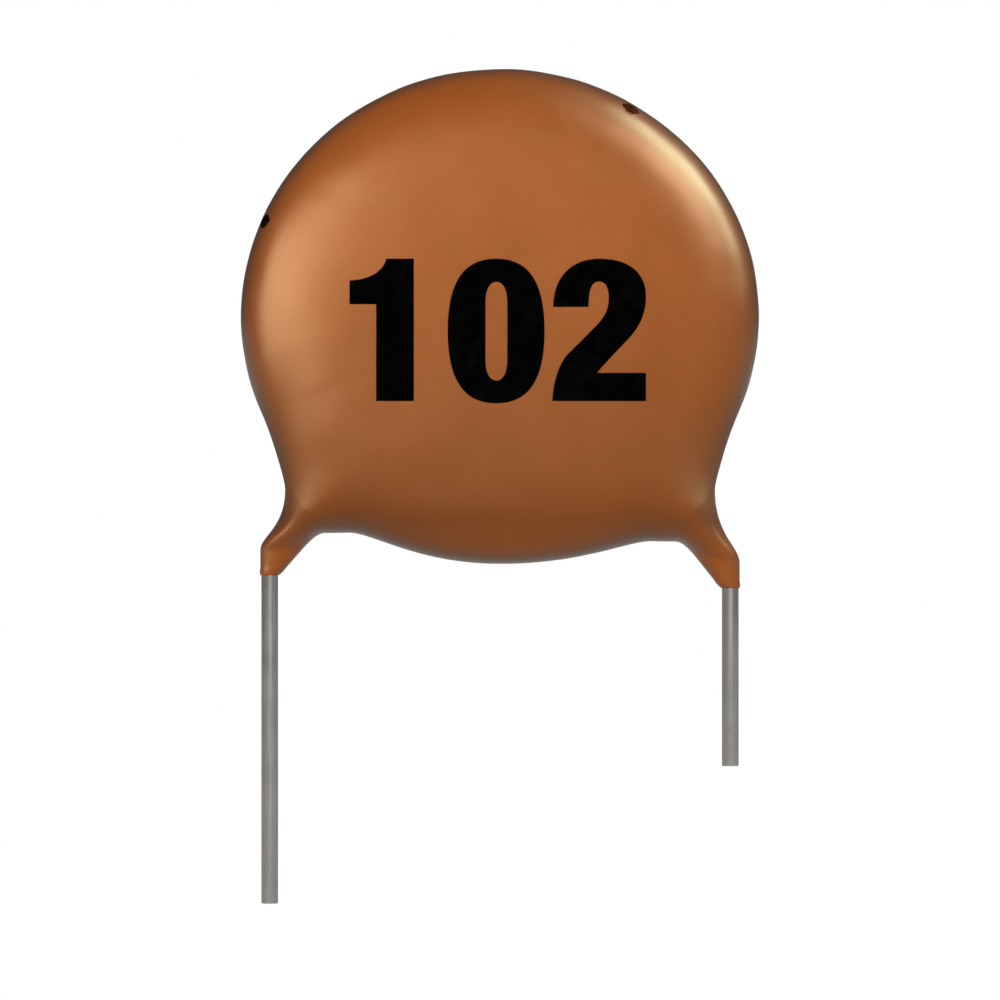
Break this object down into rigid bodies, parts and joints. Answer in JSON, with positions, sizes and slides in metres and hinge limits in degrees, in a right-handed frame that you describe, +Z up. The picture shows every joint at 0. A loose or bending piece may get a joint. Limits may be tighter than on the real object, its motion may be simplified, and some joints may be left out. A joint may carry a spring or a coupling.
{
  "type": "ceramic disc capacitor",
  "caption": "Through-hole ceramic disc capacitor: a round brown resin-dipped body with resin runs on straight tinned wire leads at a wide pitch.",
  "frame": {"origin": "midway between the two lead axes, on the board plane where the lower resin run ends", "axes": "+X from the left lead to the right lead as seen from the printed face, +Y from the printed face to the back, +Z up from the board towards the top of the disc"},
  "size_m": [0.014, 0.0038, 0.0227],
  "materials": {
    "resin": "dipped brown resin, smooth and half glossy",
    "ceramic": "fired, unglazed",
    "silver": "matt fired silver",
    "tinned_wire": "drawn and tinned",
    "solder": "bright solder"
  },
  "bodies": {
    "root": {"coating": "resin", "ceramic_disc": "ceramic", "front_electrode": "silver", "rear_electrode": "silver", "left_lead": "tinned_wire", "right_lead": "tinned_wire", "front_solder": "solder", "rear_solder": "solder"}
  },
  "joints": []
}
